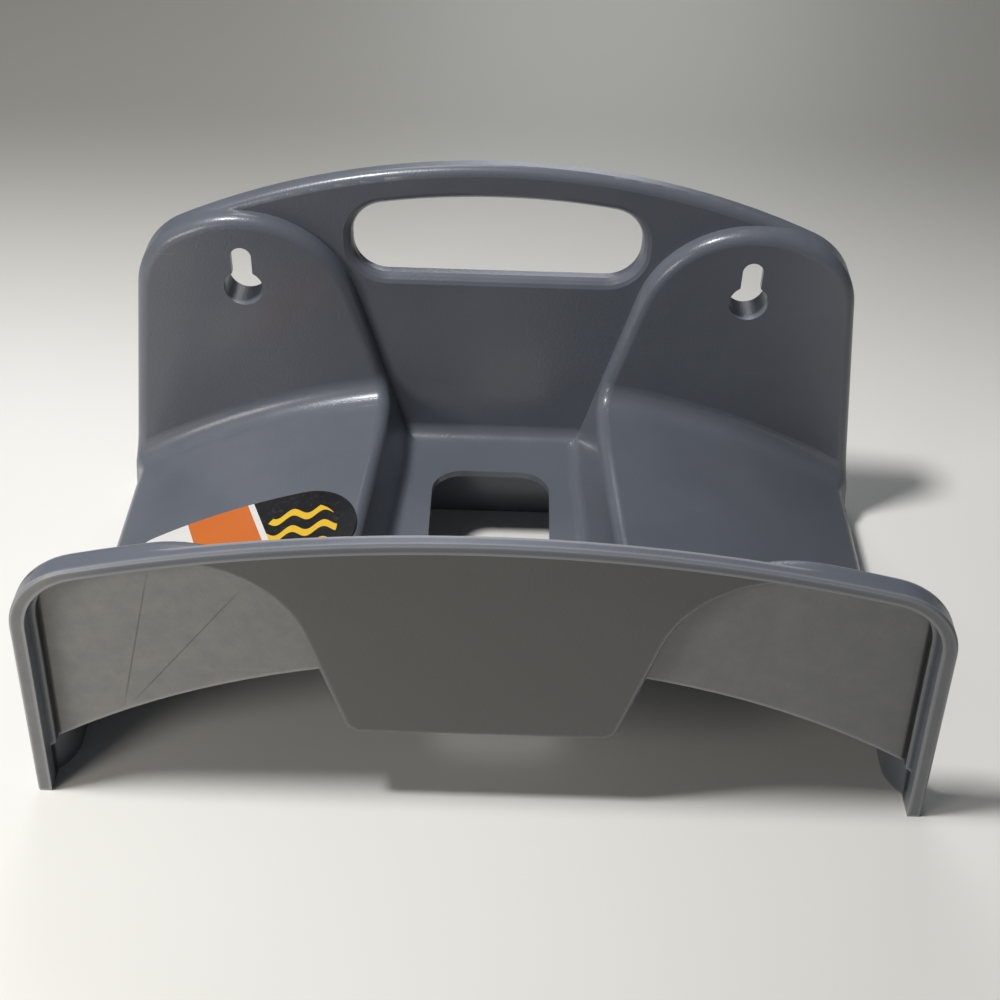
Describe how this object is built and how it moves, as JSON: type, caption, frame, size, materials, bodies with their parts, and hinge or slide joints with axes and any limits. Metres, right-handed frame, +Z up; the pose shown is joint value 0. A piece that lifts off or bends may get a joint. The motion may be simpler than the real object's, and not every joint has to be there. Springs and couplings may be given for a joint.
{
  "type": "hose hanger",
  "caption": "Moulded wall hanger for a garden hose: arched back plate with a hand slot and keyholes, curved saddle with a central channel, and an upturned front flange.",
  "frame": {"origin": "on the wall plane, midway between the centres of the keyhole circles", "axes": "+X to the right seen from the front, +Y into the wall, +Z up"},
  "size_m": [0.277, 0.1537, 0.1421],
  "materials": {
    "plastic": "satin blue-grey polypropylene"
  },
  "bodies": {
    "root": {"hose_hanger": "plastic"}
  },
  "joints": []
}
